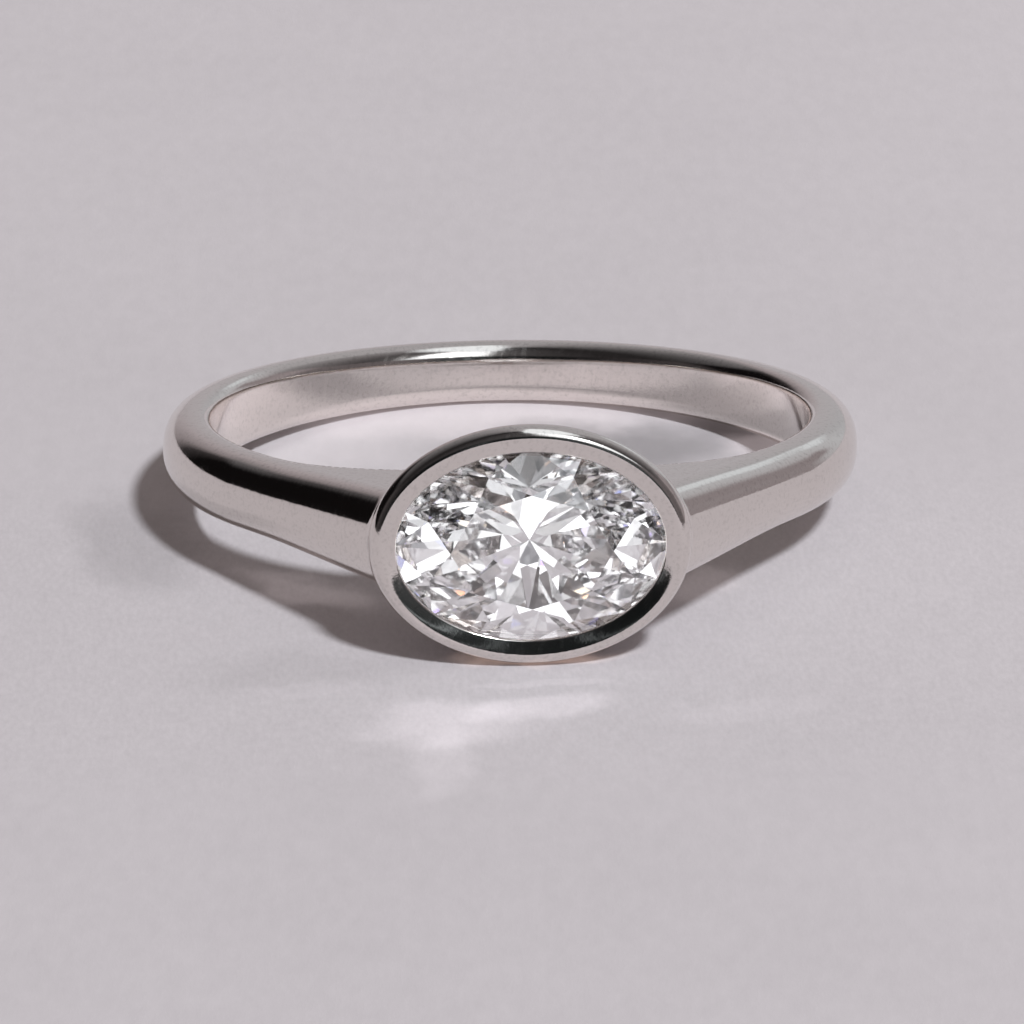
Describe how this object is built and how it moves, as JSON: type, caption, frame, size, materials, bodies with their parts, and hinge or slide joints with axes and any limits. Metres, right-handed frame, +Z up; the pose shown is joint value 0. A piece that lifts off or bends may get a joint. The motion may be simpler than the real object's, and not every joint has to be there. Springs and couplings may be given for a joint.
{
  "type": "bezel set engagement ring",
  "caption": "Polished white gold finger ring lying on its side, its shoulders widening to an oval bezel that holds a brilliant cut oval stone.",
  "frame": {"origin": "middle of the ring's footprint, on the surface that it lies on", "axes": "+Z up from that surface, the bezel towards -Y, +X across the finger hole along the stone's length; the finger hole's own axis leans 6.8 degrees from +Z towards +Y"},
  "size_m": [0.0192, 0.0217, 0.0065],
  "materials": {
    "white_gold": "mirror polished, with fine handling scratches",
    "diamond": "polished colourless diamond, brilliant cut"
  },
  "bodies": {
    "root": {"band_with_bezel": "white_gold", "oval_stone": "diamond"}
  },
  "joints": []
}
